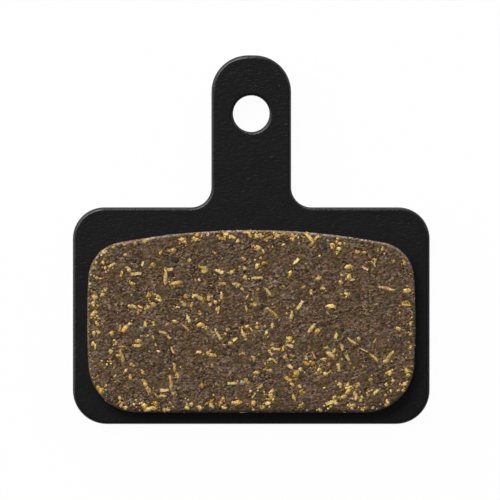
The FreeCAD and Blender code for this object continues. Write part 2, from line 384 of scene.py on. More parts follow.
class ChipFinish(bpy.types.PropertyGroup):
    """The brass chips and dark grains in the lining"""

    brass_pale: colour("Pale brass", "Brass freshly cut", "#EED69A")
    brass: colour("Brass", "Brass as most chips show it", "#CFAB68")
    brass_tan: colour("Tan brass", "Brass dulled by resin", "#AC8951")
    resin: colour("Resin", "Resin smeared over the brass", "#74522C")
    blotch_width: length("Blotch width", "Width of the blotches on the brass", 0.09)
    blotch_depth: length("Blotch depth", "Relief of those blotches", 0.02)
    alloy_width: length("Alloy width", "Width over which the brass changes its hue", 0.5)
    graphite: colour("Graphite", "Darkest grains", "#2D2A25")
    slate: colour("Slate", "Slate grains, greyer and paler", "#46443C")
    quartz: colour("Quartz", "A rare pale grain", "#A39B92")
    break_width: length("Break width", "Width of the flaky breaks on the dark grains", 0.14)
    break_depth: length("Break depth", "Relief of those breaks", 0.03)
    shaving_count: count("Small shavings", "Shavings scattered besides the ones that stand out", 44)
    clump_count: count("Clumps", "Clumps of brass granules scattered over the face and the walls", 76)
    nest_count: count("Nest granules", "Brass granules in each nest", 8)
    crumb_count: count("Crumbs", "Fine brass crumbs beside each shaving and bead that stands out", 1)
    rim_count: count("Rim granules", "Brass granules along the left and along the right rim", 34)
    grain_count: count("Dark grains", "Dark grains scattered over the face and the walls", 36)
    crevice_width: length("Crevice width", "Reach of the crevice beside a chip", 0.13)
    crevice_depth: length("Crevice depth", "Depth of that crevice", 0.06)
    seed: count("Seed", "Start of the scatter's random draws", 11)


class StageSetup(bpy.types.PropertyGroup):
    """The studio: a key light, a low side light and a fill light that draws the right shoulder's edge"""

    floor: colour("Floor", "Studio paper", "#F4F4F4")
    sky: colour("Sky", "Even light from all round", "#FFFFFF")
    sky_level: ratio("Sky level", "Strength of the even light", 0.12)
    key_watts: power("Key light", "Power of the key light", 6.6)
    key_width: length("Key width", "Width of the key light", 560.0)
    key_tall: length("Key height", "Height of the key light", 560.0)
    key_distance: length("Key distance", "From the pad to the key light", 1200.0)
    key_azimuth: angle("Key azimuth", "From +X towards +Y", 122)
    key_height: angle("Key elevation", "Angle above the floor", 60)
    side_watts: power("Side light", "Power of the low light", 10.2)
    side_width: length("Side width", "Width of the low light", 2400.0)
    side_tall: length("Side height", "Height of the low light", 500.0)
    side_distance: length("Side distance", "From the pad to the low light", 800.0)
    side_azimuth: angle("Side azimuth", "From +X towards +Y", 132)
    side_height: angle("Side elevation", "Angle above the floor", 28)
    fill_watts: power("Fill light", "Power of the fill light", 1.9)
    fill_width: length("Fill width", "Width of the fill light", 1400.0)
    fill_tall: length("Fill height", "Height of the fill light", 300.0)
    fill_distance: length("Fill distance", "From the pad to the fill light", 900.0)
    fill_azimuth: angle("Fill azimuth", "From +X towards +Y", 40)
    fill_height: angle("Fill elevation", "Angle above the floor", 33)
    camera_distance: length("Camera distance", "From the plate's front face to the camera", 1200.0)
    frame_width: length("Frame width", "Width of the view at the plate's front face", 39.78)


def deselect_all():
    if bpy.context.object and bpy.context.object.mode != "OBJECT":
        bpy.ops.object.mode_set(mode="OBJECT")
    bpy.ops.object.select_all(action="DESELECT")


def make_active(obj):
    deselect_all()
    obj.select_set(True)
    bpy.context.view_layer.objects.active = obj


def select_in_edit(obj, kind, test):
    """In edit mode, selects only the vertices, edges or faces that pass a test."""
    bpy.ops.mesh.select_all(action="DESELECT")
    bpy.ops.mesh.select_mode(type=kind)
    mesh = bmesh.from_edit_mesh(obj.data)
    for element in {"VERT": mesh.verts, "EDGE": mesh.edges, "FACE": mesh.faces}[kind]:
        element.select_set(test(element))
    mesh.select_flush_mode()
    bmesh.update_edit_mesh(obj.data)


def add_node(tree, kind, inputs=None, stops=(), **settings):
    """Adds a shader node with its settings, and fills its inputs with values or other nodes' outputs."""
    node = tree.nodes.new("ShaderNode" + kind)
    for name, value in settings.items():
        setattr(node, name, value)
    sockets = {socket.identifier: socket for socket in node.inputs}
    for name, value in (inputs or {}).items():
        if isinstance(value, bpy.types.NodeSocket):
            tree.links.new(value, sockets[name])
        else:
            sockets[name].default_value = value
    for i, (position, shade) in enumerate(stops):
        elements = node.color_ramp.elements
        if i == 0:
            elements.remove(elements[-1])
        element = elements.new(position) if i else elements[0]
        element.position = position
        element.color = shade
    return node


def new_material(name):
    """An empty material, and the function that adds a node to it."""
    material = bpy.data.materials.new(name)
    material.use_nodes = True
    material.node_tree.nodes.clear()
    return material, functools.partial(add_node, material.node_tree)


def black_powder_coat(finish):
    """Baked black powder coat on stamped steel.

    It gives the eye a near-black satin with a fine orange peel drawn out along X and a faint mottle.
    """
    material, node = new_material("black_powder_coat_satin")
    place = node("TexCoord").outputs["Object"]
    along = (1 / finish.peel_stretch, 1.0, 1.0)
    stretched = node("Mapping", {"Vector": place, "Scale": along}).outputs["Vector"]
    waves = {"Scale": 1 / finish.peel_width, "Detail": 2.0, "Roughness": 0.6, "Distortion": 0.5}
    peel = node("TexNoise", {"Vector": stretched, **waves}).outputs["Fac"]
    mottle = node(
        "TexNoise", {"Vector": place, "Scale": 1 / finish.mottle_width, "Detail": 4.0, "Roughness": 0.65}
    ).outputs["Fac"]
    coat = node(
        "ValToRGB", {"Fac": mottle}, stops=[(0.35, finish.coat), (0.65, finish.coat_thin)]
    ).outputs["Color"]
    rough = node(
        "MapRange", {"Value": mottle, "From Min": 0.3, "From Max": 0.7, "To Min": 0.22, "To Max": 0.24}
    ).outputs["Result"]
    bump = node(
        "Bump", {"Height": peel, "Strength": 1.0, "Distance": finish.peel_depth}
    ).outputs["Normal"]
    shader = node(
        "BsdfPrincipled",
        {"Base Color": coat, "Roughness": rough, "Normal": bump, "Specular IOR Level": 0.4},
    )
    node("OutputMaterial", {"Surface": shader.outputs["BSDF"]})
    return material


def friction_compound(finish):
    """Resin-bonded friction compound, moulded hot and ground on its face.

    It gives the eye a dry brown ground of filler grains in many browns, with painted shade in the hollows
    between them and the glint of brass dust. Real grit is finer, and is drawn this coarse so that it shows.
    """
    material, node = new_material("friction_compound_ground")
    place = node("TexCoord").outputs["Object"]
    wobble = node(
        "TexNoise", {"Vector": place, "Scale": 1 / finish.wobble_width, "Detail": 1.0}
    ).outputs["Color"]
    shift = node(
        "VectorMath",
        {"Vector": wobble, "Vector_001": (finish.wobble_reach,) * 3, "Vector_002": place},
        operation="MULTIPLY_ADD",
    ).outputs["Vector"]

    # Coloured filler grains, thinly over a binder that drifts from ochre to lilac and from red to green
    grains = node("TexVoronoi", {"Vector": shift, "Scale": 1 / finish.filler_width})
    draw = node("SeparateColor", {"Color": grains.outputs["Color"]})
    grain_colour = node(
        "ValToRGB",
        {"Fac": draw.outputs["Red"]},
        stops=[
            (0.0, finish.soot),
            (0.08, finish.soot),
            (0.16, finish.olive),
            (0.36, finish.binder),
            (0.55, finish.binder_grey),
            (0.70, finish.rust),
            (0.80, finish.mauve),
            (0.94, finish.sand),
            (0.99, finish.ember),
        ],
    ).outputs["Color"]
    drift = node(
        "TexNoise", {"Vector": place, "Scale": 1 / finish.drift_width, "Detail": 1.0, "Roughness": 0.6}
    ).outputs["Fac"]
    ground = node(
        "ValToRGB",
        {"Fac": drift},
        stops=[
            (0.32, finish.ochre),
            (0.46, finish.binder),
            (0.54, finish.binder_grey),
            (0.68, finish.lilac),
        ],
    ).outputs["Color"]
    grained = node(
        "Mix", {"Factor_Float": 0.2, "A_Color": ground, "B_Color": grain_colour}, data_type="RGBA"
    ).outputs[MIXED_COLOUR]
    cast_draw = node("SeparateColor", {"Color": wobble}).outputs["Green"]
    cast = node(
        "MapRange",
        {"Value": cast_draw, "From Min": 0.3, "From Max": 0.7, "To Min": 0.468, "To Max": 0.532},
    ).outputs["Result"]
    grained = node("HueSaturation", {"Color": grained, "Hue": cast}).outputs["Color"]

    # The moulded walls' dark resin, partly painted shade, with painted shade above the foot, and a painted
    # highlight on the rim where it faces the light, then patches that differ a little in tint
    skin = node("Attribute", attribute_name="skin").outputs["Fac"]
    skin_and_shade_mixed = node(
        "Mix", {"Factor_Float": skin, "A_Color": grained, "B_Color": finish.skin}, data_type="RGBA"
    ).outputs[MIXED_COLOUR]
    # Painted highlight along the rim facing the light, broken up by the drift noise
    rim = node("Attribute", attribute_name="rim").outputs["Fac"]
    rim_highlight_breakup = node(
        "MapRange", {"Value": drift, "From Min": 0.38, "From Max": 0.58, "To Min": 0.35, "To Max": 1.0}
    ).outputs["Result"]
    painted_rim_highlight = node("Math", {"Value": rim, "Value_001": rim_highlight_breakup}, operation="MULTIPLY").outputs["Value"]
    rim_highlighted = node(
        "Mix", {"Factor_Float": painted_rim_highlight, "A_Color": skin_and_shade_mixed, "B_Color": finish.rim}, data_type="RGBA"
    ).outputs[MIXED_COLOUR]
    patches = node(
        "TexNoise", {"Vector": place, "Scale": 1 / finish.patch_width, "Detail": 2.0, "Roughness": 0.6}
    ).outputs["Color"]
    tint = node(
        "VectorMath",
        {"Vector": patches, "Vector_001": (0.5,) * 3, "Vector_002": (0.74,) * 3},
        operation="MULTIPLY_ADD",
    ).outputs["Vector"]
    tinted = node(
        "VectorMath", {"Vector": rim_highlighted, "Vector_001": tint}, operation="MULTIPLY"
    ).outputs["Vector"]

    # Grit along the fibres, in zones where it is finer or coarser, then painted shade in the relief's
    # hollows and crevices and a little painted light on its high spots
    along_fibres = node(
        "Mapping",
        {
            "Vector": place,
            "Rotation": (0.0, 0.0, finish.fibre_slant),
            "Scale": (finish.grit_stretch, 1.0, 1.0),
        },
        vector_type="TEXTURE",
    ).outputs["Vector"]
    grit = node("TexVoronoi", {"Vector": along_fibres, "Scale": 1 / finish.grit_width})
    grit_draw = node("SeparateColor", {"Color": grit.outputs["Color"]}).outputs["Red"]
    zones = node(
        "TexNoise", {"Vector": place, "Scale": 1 / finish.zone_width, "Detail": 2.0, "Roughness": 0.6}
    ).outputs["Fac"]
    coarseness = node(
        "MapRange", {"Value": zones, "From Min": 0.3, "From Max": 0.7, "To Min": 0.45, "To Max": 1.6}
    ).outputs["Result"]
    grit_level = node("MapRange", {"Value": grit_draw, "To Min": -0.6, "To Max": 0.6}).outputs["Result"]
    grit_shade = node(
        "Math", {"Value": grit_level, "Value_001": coarseness, "Value_002": 0.9}, operation="MULTIPLY_ADD"
    ).outputs["Value"]
    # Painted shade: darker where the relief sank and beside the chips, a little lighter on the high spots
    hollow = node("Attribute", attribute_name="hollow").outputs["Fac"]
    painted_hollow_shade = node(
        "MapRange", {"Value": hollow, "From Min": 0.2, "From Max": 1.0, "To Min": 1.17, "To Max": 0.28}
    ).outputs["Result"]
    shade = node(
        "Math", {"Value": grit_shade, "Value_001": painted_hollow_shade}, operation="MULTIPLY"
    ).outputs["Value"]
    shaded = node("VectorMath", {"Vector": tinted, "Scale": shade}, operation="SCALE").outputs["Vector"]
    # No pale grit on the walls' dark resin or in the painted shade above the foot
    palest = node(
        "MapRange", {"Value": skin, "From Max": 0.6, "To Min": 0.045, "To Max": 0.0}
    ).outputs["Result"]
    pale_grit = node(
        "MapRange", {"Value": grit_draw, "From Min": 0.6, "To Min": 0.0, "To Max": palest}
    ).outputs["Result"]
    speckled = node(
        "VectorMath",
        {"Vector": pale_grit, "Vector_001": coarseness, "Vector_002": shaded},
        operation="MULTIPLY_ADD",
    ).outputs["Vector"]

    # Rare specks, each with the channel that draws it, the draws at which it starts and is widest, that
    # width as a share of the spacing, and its colour. Brass dust comes last, and its mask makes it metal.
    specks = node("TexVoronoi", {"Vector": shift, "Scale": 1 / finish.speck_spacing})
    speck_draw = node("SeparateColor", {"Color": specks.outputs["Color"]})
    for channel, start, widest, width, speck_colour in (
        ("Red", 0.965, 1.0, 0.4, finish.ember),
        ("Red", 0.05, 0.0, 0.45, finish.slate),
        ("Blue", 0.83, 1.0, 0.26, finish.chalk),
        ("Green", 0.79, 1.0, 0.25, finish.dust),
    ):
        drawn = speck_draw.outputs[channel]
        reach = node(
            "MapRange",
            {"Value": drawn, "From Min": start, "From Max": widest, "To Min": 0.0, "To Max": width},
        ).outputs["Result"]
        dusted = node(
            "Math", {"Value": specks.outputs["Distance"], "Value_001": reach}, operation="LESS_THAN"
        ).outputs["Value"]
        speckled = node(
            "Mix",
            {"Factor_Float": dusted, "A_Color": speckled, "B_Color": speck_colour},
            data_type="RGBA",
        ).outputs[MIXED_COLOUR]
    rough = node("MapRange", {"Value": dusted, "To Min": 0.6, "To Max": 0.5}).outputs["Result"]
    bump = node(
        "Bump",
        {"Height": grit.outputs["Distance"], "Strength": 1.0, "Distance": finish.grit_depth},
        invert=True,
    ).outputs["Normal"]
    shader = node(
        "BsdfPrincipled",
        {
            "Base Color": speckled,
            "Roughness": rough,
            "Metallic": dusted,
            "Normal": bump,
            "Specular IOR Level": 0.15,
        },
    )
    node("OutputMaterial", {"Surface": shader.outputs["BSDF"]})
    return material


def cut_brass(finish):
    """Brass turnings and granules, cut by grinding and dulled by resin.

    They give the eye a warm yellow metal, blotched, from pale where freshly cut to tan, no two alike, each
    chip darker down its sides as resin and as painted shade.
    """
    material, node = new_material("brass_cut_dull")
    place = node("TexCoord").outputs["Object"]
    tone = node("Attribute", attribute_name="tone").outputs["Fac"]
    blotch = node(
        "TexNoise", {"Vector": place, "Scale": 1 / finish.blotch_width, "Detail": 2.0, "Roughness": 0.65}
    ).outputs["Fac"]
    mixed_tone = node(
        "Math", {"Value": blotch, "Value_001": 2.1, "Value_002": tone}, operation="MULTIPLY_ADD"
    ).outputs["Value"]
    metal = node(
        "ValToRGB",
        {"Fac": mixed_tone},
        stops=[
            (0.28, finish.resin),
            (0.5, finish.brass_tan),
            (0.82, finish.brass),
            (1.0, finish.brass_pale),
        ],
    ).outputs["Color"]
    alloy = node("TexNoise", {"Vector": place, "Scale": 1 / finish.alloy_width})
    hue = node(
        "MapRange",
        {
            "Value": alloy.outputs["Fac"],
            "From Min": 0.35,
            "From Max": 0.65,
            "To Min": 0.482,
            "To Max": 0.522,
        },
    ).outputs["Result"]
    alloy_draw = node("SeparateColor", {"Color": alloy.outputs["Color"]}).outputs["Blue"]
    richness = node(
        "MapRange",
        {"Value": alloy_draw, "From Min": 0.35, "From Max": 0.65, "To Min": 0.92, "To Max": 1.14},
    ).outputs["Result"]
    metal = node("HueSaturation", {"Color": metal, "Hue": hue, "Saturation": richness}).outputs["Color"]
    rough = node(
        "MapRange", {"Value": blotch, "From Min": 0.3, "From Max": 0.7, "To Min": 0.5, "To Max": 0.7}
    ).outputs["Result"]
    bump = node(
        "Bump", {"Height": blotch, "Strength": 0.4, "Distance": finish.blotch_depth}
    ).outputs["Normal"]
    shader = node(
        "BsdfPrincipled", {"Base Color": metal, "Roughness": rough, "Metallic": 0.7, "Normal": bump}
    )
    node("OutputMaterial", {"Surface": shader.outputs["BSDF"]})
    return material


def graphite(finish):
    """Graphite and slate grains, broken rather than cut, with a rare grain of quartz.

    They give the eye dull dark spots with flaky breaks, from near black to grey.
    """
    material, node = new_material("graphite_grain_dull")
    place = node("TexCoord").outputs["Object"]
    tone = node("Attribute", attribute_name="tone").outputs["Fac"]
    breaks = node(
        "TexNoise", {"Vector": place, "Scale": 1 / finish.break_width, "Detail": 3.0}
    ).outputs["Fac"]
    mixed_tone = node(
        "Math", {"Value": breaks, "Value_001": 0.5, "Value_002": tone}, operation="MULTIPLY_ADD"
    ).outputs["Value"]
    mineral = node(
        "ValToRGB",
        {"Fac": mixed_tone},
        stops=[(0.2, finish.graphite), (0.9, finish.slate), (1.0, finish.quartz)],
    ).outputs["Color"]
    rough = node(
        "MapRange", {"Value": breaks, "From Min": 0.3, "From Max": 0.7, "To Min": 0.55, "To Max": 0.8}
    ).outputs["Result"]
    bump = node(
        "Bump", {"Height": breaks, "Strength": 0.5, "Distance": finish.break_depth}
    ).outputs["Normal"]
    shader = node(
        "BsdfPrincipled",
        {"Base Color": mineral, "Roughness": rough, "Normal": bump, "Specular IOR Level": 0.15},
    )
    node("OutputMaterial", {"Surface": shader.outputs["BSDF"]})
    return material


def studio_paper(setup):
    """White studio paper. The eye sees it as plain white with only a breath of the pad's shadow."""
    material, node = new_material("studio_paper_white")
    rays = node("LightPath").outputs
    seen = rays["Is Camera Ray"]
    for kind in ("Is Glossy Ray", "Is Transmission Ray"):
        seen = node(
            "Math", {"Value": seen, "Value_001": rays[kind]}, operation="MAXIMUM"
        ).outputs["Value"]
    glow = node("Math", {"Value": seen, "Value_001": PAPER_GLOW}, operation="MULTIPLY").outputs["Value"]
    paper = node("BsdfDiffuse", {"Color": setup.floor}).outputs["BSDF"]
    white = node("Emission", {"Strength": 1.0}).outputs["Emission"]
    mixed = node("MixShader", {"Fac": glow, "Shader": paper, "Shader_001": white}).outputs["Shader"]
    node("OutputMaterial", {"Surface": mixed})
    return material


def finish_piece(piece, name, material):
    """Names a piece, gives it its finish and sets it on the pad."""
    piece.name = name
    piece.data.name = name
    piece.data.materials.clear()
    piece.data.materials.append(material)
    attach(piece, "root")


def displace(piece, name, kind, width, depth, stretch=1.0, slant=0.0, **settings):
    """Sinks a piece's free surface by up to a depth, in a pattern of that width drawn out along X."""
    deselect_all()
    bpy.ops.object.empty_add()
    ruler = bpy.context.object
    ruler.scale = (stretch, 1.0, 1.0)
    ruler.rotation_euler = (0.0, 0.0, slant)
    bpy.context.view_layer.update()
    make_active(piece)
    texture = bpy.data.textures.new(name, kind)
    texture.noise_scale = width
    for setting, value in settings.items():
        setattr(texture, setting, value)
    modifier = piece.modifiers.new(name, "DISPLACE")
    modifier.texture = texture
    modifier.texture_coords = "OBJECT"
    modifier.texture_coords_object = ruler
    modifier.direction = "NORMAL"
    modifier.vertex_group = FREE_SURFACE
    modifier.strength = depth
    modifier.mid_level = 1.0
    bpy.ops.object.modifier_apply(modifier=modifier.name)
    bpy.data.objects.remove(ruler)


def vertex_places(mesh):
    """The places of a mesh's vertices, one to a row."""
    places = np.empty(len(mesh.vertices) * 3, np.float32)
    mesh.vertices.foreach_get("co", places)
    return places.reshape(-1, 3)


def mark_vertices(mesh, name, values):
    """Gives each vertex of a mesh its value of a named attribute, which a material then reads."""
    attribute = mesh.attributes.new(name, "FLOAT", "POINT")
    attribute.data.foreach_set("value", values)


def grind_face(mesh):
    """Takes off what stands above the friction face, as grinding does, and gives the places left."""
    places = vertex_places(mesh)
    places[:, 2] = np.minimum(places[:, 2], FACE_Z)
    mesh.vertices.foreach_set("co", places.ravel())
    return places


def lining_solid():
    """The corners and the triangles of the lining's solid."""
    mesh = LINING.data
    mesh.calc_loop_triangles()
    return [vertex.co.copy() for vertex in mesh.vertices], list(mesh.loop_triangles)


def nearest_walls(places):
    """How far inside the lining's nearest wall each place lies, seen from above, and that wall's normal."""
    corners, triangles = lining_solid()
    upright = [tuple(t.vertices) for t in triangles if abs(t.normal.z) < UPRIGHT]
    walls = BVHTree.FromPolygons(corners, upright)
    half_way_up = (BASE_Z + FACE_Z) / 2
    found = [walls.find_nearest((x, y, half_way_up)) for x, y, z in places]
    distances = np.array([distance for point, normal, index, distance in found])
    normals = np.array([normal for point, normal, index, distance in found])
    return distances, normals


class BRAKE_PAD_OT_coat_plate(bpy.types.Operator):
    """Coat the stamped backing plate"""

    bl_idname = "brake_pad.coat_plate"
    bl_label = "Coat the backing plate"

    def execute(self, context):
        PLATE.data.materials.clear()
        PLATE.data.materials.append(black_powder_coat(context.scene.brake_pad_plate))
        return {"FINISHED"}


class BRAKE_PAD_OT_mould_lining(bpy.types.Operator):
    """Mould the friction lining with its grains, hollows and pits"""

    bl_idname = "brake_pad.mould_lining"
    bl_label = "Mould the friction lining"

    def execute(self, context):
        finish = context.scene.brake_pad_lining
        lining = bpy.data.objects.new("lining_compound", LINING.data.copy())
        context.scene.collection.objects.link(lining)
        self.lay_grid(lining, finish.grid)
        smooth = vertex_places(lining.data)
        self.roughen(lining, finish, smooth[:, 2])
        ground = grind_face(lining.data)
        self.mark_surface(lining.data, finish, smooth, ground)
        bpy.ops.object.shade_smooth()
        finish_piece(lining, "lining_compound", friction_compound(finish))
        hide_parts("friction_lining")
        return {"FINISHED"}

    def lay_grid(self, lining, spacing):
        """Lays an even grid over the lining.

        The walls run on below the plate's face while the grid is made, then are cut off flush with it.
        """
        make_active(lining)
        bpy.ops.mesh.customdata_custom_splitnormals_clear()
        bpy.ops.object.mode_set(mode="EDIT")
        bpy.ops.mesh.select_all(action="SELECT")
        bpy.ops.mesh.remove_doubles(threshold=MERGE_DISTANCE)
        select_in_edit(lining, "FACE", lambda face: face.calc_center_median().z < BASE_Z + FLUSH)
        bpy.ops.transform.translate(value=(0.0, 0.0, -SKIRT_CELLS * spacing))
        bpy.ops.object.mode_set(mode="OBJECT")
        grid = lining.modifiers.new("even_grid", "REMESH")
        grid.mode = "VOXEL"
        grid.voxel_size = spacing
        bpy.ops.object.modifier_apply(modifier=grid.name)
        bpy.ops.object.mode_set(mode="EDIT")
        bpy.ops.mesh.select_all(action="SELECT")
        bpy.ops.mesh.bisect(
            plane_co=(0.0, 0.0, BASE_Z), plane_no=(0.0, 0.0, 1.0), use_fill=True, clear_inner=True
        )
        bpy.ops.object.mode_set(mode="OBJECT")

    def roughen(self, lining, finish, heights):
        """Sinks hollows between the grains, pits and furrows between the fibres."""
        free = lining.vertex_groups.new(name=FREE_SURFACE)
        relief = np.interp(FACE_Z - heights, (0.0, RELIEF_FADE), (1.0, WALL_RELIEF)).round(1)
        relief[heights < BASE_Z + BOND_LINE] = 0.0
        for share in np.unique(relief):
            free.add(np.flatnonzero(relief == share).tolist(), float(share), "REPLACE")
        displace(lining, "grains", "VORONOI", finish.grain_width, -finish.grain_depth)
        displace(lining, "pits", "CLOUDS", finish.pit_width, finish.pit_depth, noise_depth=2)
        displace(
            lining,
            "fibres",
            "CLOUDS",
            finish.fibre_width,
            finish.fibre_depth,
            finish.fibre_stretch,
            finish.fibre_slant,
            noise_depth=1,
        )

    def mark_surface(self, mesh, finish, smooth, ground):
        """Marks how deep the surface sank, for painted shade in its hollows; where the walls' dark resin and
        the painted shade above the foot lie; and the painted highlight on the rim facing the light.
        """
        sunk = np.linalg.norm(ground - smooth, axis=1)
        # How far each place sank, which the material turns into painted shade
        mark_vertices(mesh, "hollow", sunk / sunk.max())
        heights = smooth[:, 2]
        inside, facing = nearest_walls(smooth)
        # Full where the nearest wall faces -Y, and none from 60 degrees off it
        foot_side = np.clip(-2.0 * facing[:, 1] - 1.0, 0.0, 1.0)
        # Painted shade creeps over the foot's rim; the walls' dark resin below it is partly painted shade
        depth = FACE_Z - heights + FOOT_SHADE_CREEP * foot_side * (inside < RIM_ROUND)
        on_walls = np.interp(depth, SKIN_DEPTHS, (0.0, SKIN_SHARE))
        # Painted shade over the face just above the foot, fading upward
        shade_above_foot = foot_side * np.interp(inside, (0.0, FOOT_SHADE_REACH), (FOOT_SHADE_SHARE, 0.0))
        mark_vertices(mesh, "skin", np.maximum(on_walls, shade_above_foot))
        rim_steps = [finish.rim_highlight_width * share for share in RIM_SHARES]
        # The rim's painted highlight, only where it faces the light: at the crown and round to the left
        rim_facing_light = np.clip(facing[:, 1] + LEFT_RIM_HIGHLIGHT * np.maximum(-facing[:, 0], 0.0), 0.0, 1.0)
        near_edge = np.interp(inside, rim_steps, RIM_HIGHLIGHT_LEVELS) * (heights > FACE_Z - RIM_ROUND)
        mark_vertices(mesh, "rim", rim_facing_light * near_edge)


def stretch_selected(x, y, z):
    """Scales what is selected about the origin."""
    bpy.ops.transform.resize(value=(x, y, z), center_override=(0.0, 0.0, 0.0))


def roughen_outline(offset, seed):
    """Moves the selected vertices about in the plane, drawn tall meanwhile so that heights hardly change."""
    tall = 20.0
    stretch_selected(1.0, 1.0, tall)
    bpy.ops.transform.vertex_random(offset=offset, seed=seed)
    stretch_selected(1.0, 1.0, 1 / tall)


def finish_chip(chip):
    """Turns a chip's faces outward and shades its dome smooth."""
    bpy.ops.mesh.select_all(action="SELECT")
    bpy.ops.mesh.normals_make_consistent(inside=False)
    bpy.ops.object.mode_set(mode="OBJECT")
    bpy.ops.object.shade_smooth_by_angle(angle=SHARP_ANGLE)
    return chip


def model_needle(seed):
    """One brass turning of unit size with its top at the origin: a ridged sliver with thin ends."""
    ridge_inset = 0.16
    ridge_height = 0.28
    deselect_all()
    bpy.ops.mesh.primitive_cube_add(size=1.0)
    needle = bpy.context.object
    bpy.ops.object.mode_set(mode="EDIT")
    bpy.ops.mesh.select_all(action="SELECT")
    bpy.ops.transform.translate(value=(0.0, 0.0, -0.5 - ridge_height))
    select_in_edit(needle, "EDGE", lambda edge: abs(edge.verts[0].co.x - edge.verts[1].co.x) > 0.5)
    bpy.ops.mesh.subdivide(number_cuts=4)
    select_in_edit(needle, "FACE", lambda face: face.normal.z > 0.9)
    bpy.ops.mesh.inset(thickness=ridge_inset, depth=ridge_height)

    # Each end is narrowed in two steps, one end more than the other.
    for side, narrowing in ((-1.0, 0.7), (1.0, 0.92)):
        for reach in (0.25, 0.4):
            select_in_edit(needle, "VERT", lambda vertex: side * vertex.co.x > reach)
            stretch_selected(1.0, narrowing, 1.0)
    bpy.ops.mesh.select_all(action="SELECT")

    # Drawn out for the moment, so that the sides get more ragged than the length.
    drawn_out = 4.0
    stretch_selected(drawn_out, 1.0, 1.0)
    roughen_outline(NEEDLE_RAGGEDNESS, seed)
    stretch_selected(1 / drawn_out, 1.0, 1.0)
    return finish_chip(needle)


def model_flake(seed, raggedness):
    """One flake or bead of unit size with its top at the origin: a low dome with a ragged outline."""
    dome_steps = ((0.11, 0.2), (0.17, 0.1))
    dome_height = sum(height for inset, height in dome_steps)
    deselect_all()
    bpy.ops.mesh.primitive_cylinder_add(vertices=9, radius=0.5, depth=1.0)
    flake = bpy.context.object
    bpy.ops.object.mode_set(mode="EDIT")
    bpy.ops.mesh.select_all(action="SELECT")
    bpy.ops.transform.translate(value=(0.0, 0.0, -0.5 - dome_height))
    select_in_edit(flake, "FACE", lambda face: face.normal.z > 0.9)
    for inset, height in dome_steps:
        bpy.ops.mesh.inset(thickness=inset, depth=height)
    bpy.ops.mesh.select_all(action="SELECT")
    roughen_outline(raggedness, seed)
    return finish_chip(flake)


def seat(point, normal, turn, size, draw):
    """The matrix that sets a chip with its top at a point of the surface, turned and a little askew."""
    lie = normal.to_track_quat("Z", "Y").to_matrix().to_4x4()
    tip_x = Matrix.Rotation(draw.gauss(0.0, TILTS[0]), 4, "X")
    tip_y = Matrix.Rotation(draw.gauss(0.0, TILTS[1]), 4, "Y")
    place = Matrix.Translation(point) @ lie @ Matrix.Rotation(turn, 4, "Z")
    return place @ (tip_x @ tip_y) @ Matrix.Diagonal((*size, 1.0))


class LiningSurface:
    """The moulded lining's surface, which says where a chip can sit."""

    def __init__(self, lining, proud):
        corners, triangles = lining_solid()
        self.proud = proud
        self.face = self.sheet(corners, [t for t in triangles if t.normal.z > LEVEL])
        self.walls = self.sheet(corners, [t for t in triangles if abs(t.normal.z) < UPRIGHT])
        self.smooth = BVHTree.FromPolygons(corners, [tuple(t.vertices) for t in triangles])
        self.rough = BVHTree.FromObject(lining, bpy.context.evaluated_depsgraph_get())

    def sheet(self, corners, triangles):
        """The corners and normal of each triangle, and the triangles' areas."""
        sides = [[corners[i] for i in t.vertices] + [t.normal.copy()] for t in triangles]
        return sides, [t.area for t in triangles]

    def sunk(self, point, normal):
        """The point lowered to a chip's height over the rough surface's mean level round it."""
        across = normal.orthogonal().normalized() * PROBE_REACH
        depths = []
        for i in range(PROBES):
            start = point + across + normal * PROBE_START
            across.rotate(Matrix.Rotation(2 * math.pi / PROBES, 3, normal))
            depths.append(self.rough.ray_cast(start, -normal)[3] or PROBE_START)
        depth = sum(depths) / len(depths) - PROBE_START
        return point - normal * max(0.0, depth - self.proud)

    def below(self, x, y):
        """The face's point at x and y in millimetres and its normal, or None on the rim and past it."""
        above = Vector((x * MM, y * MM, FACE_Z + MM))
        point, normal, index, distance = self.smooth.ray_cast(above, Vector((0.0, 0.0, -1.0)))
        if point is None or point.z < FACE_Z - OFF_FACE:
            return None
        return self.sunk(point, normal), normal

    def on_face(self, x, y):
        """The point of the face at x and y in millimetres, with its normal."""
        found = self.below(x, y)
        if found is None:
            raise RuntimeError(f"the chip at {x}, {y} mm lies off the face")
        return found

    def beside(self, point, normal, reach, draw):
        """A point within reach of another with its normal, or None where that side of the lining ends."""
        step = Vector(draw.gauss(0.0, reach) for axis in range(3))
        step -= normal * step.dot(normal)
        place, facing, index, distance = self.smooth.find_nearest(point + step)
        if facing.dot(normal) < SAME_SIDE:
            return None
        return self.sunk(place, facing), facing

    def anywhere(self, draw, reach):
        """A random point of the face, or sometimes of a wall a reach from its ends, and its normal."""
        triangles, areas = self.walls if draw.random() < WALL_SHARE else self.face
        first, second, third, normal = draw.choices(triangles, areas)[0]
        u, v = draw.random(), draw.random()
        if u + v > 1.0:
            u, v = 1.0 - u, 1.0 - v
        point = first + (second - first) * u + (third - first) * v
        on_wall = abs(normal.z) < UPRIGHT
        if on_wall and not BASE_Z + reach < point.z < FACE_Z - RIM_ROUND - reach:
            return self.anywhere(draw, reach)
        return self.sunk(point, normal), normal


